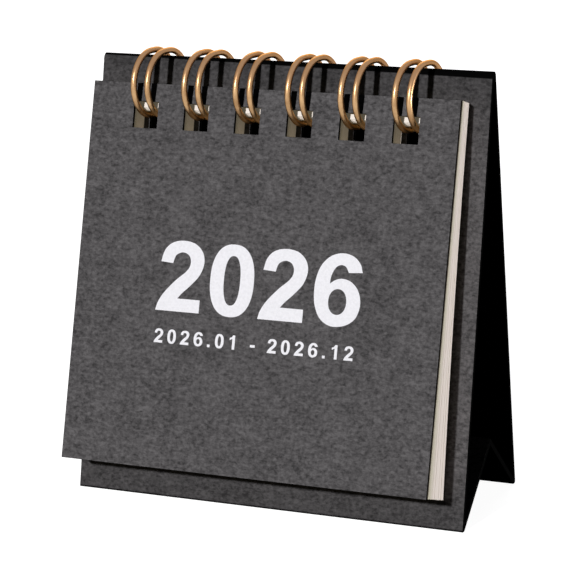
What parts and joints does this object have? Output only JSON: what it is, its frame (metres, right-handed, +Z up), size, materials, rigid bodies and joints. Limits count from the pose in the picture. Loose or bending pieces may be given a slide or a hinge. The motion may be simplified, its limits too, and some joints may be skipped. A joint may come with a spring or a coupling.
{
  "type": "standing desk calendar",
  "caption": "Small ring-bound year calendar hanging on a folded dark card easel, with a bronze double-loop wire along the ridge and a front cover that lifts.",
  "frame": {"origin": "middle of the stand's width and of the whole depth, on the table under the feet", "axes": "+Z up; -Y towards the reader, where the cover is; +X to the reader's right"},
  "size_m": [0.0636, 0.0338, 0.0687],
  "materials": {
    "stand_card": "matte, mottled dark grey-brown fibre",
    "cover_card": "matte, mottled dark grey-brown fibre with pale printed numerals",
    "page_paper": "uncoated cream, stacked edges",
    "binding_wire": "smooth bronze-coloured coat, satin"
  },
  "bodies": {
    "stand": {"easel_stand": "stand_card", "page_block": "page_paper", "binding_wire": "binding_wire"},
    "cover": {"front_cover": "cover_card"}
  },
  "joints": [
    {"name": "cover_hinge", "type": "hinge", "parent": "stand", "child": "cover", "pos_m": [-0.0007, 0.00095, 0.06325], "axis": [-1, 0, 0], "range_deg": [0, 110]}
  ]
}
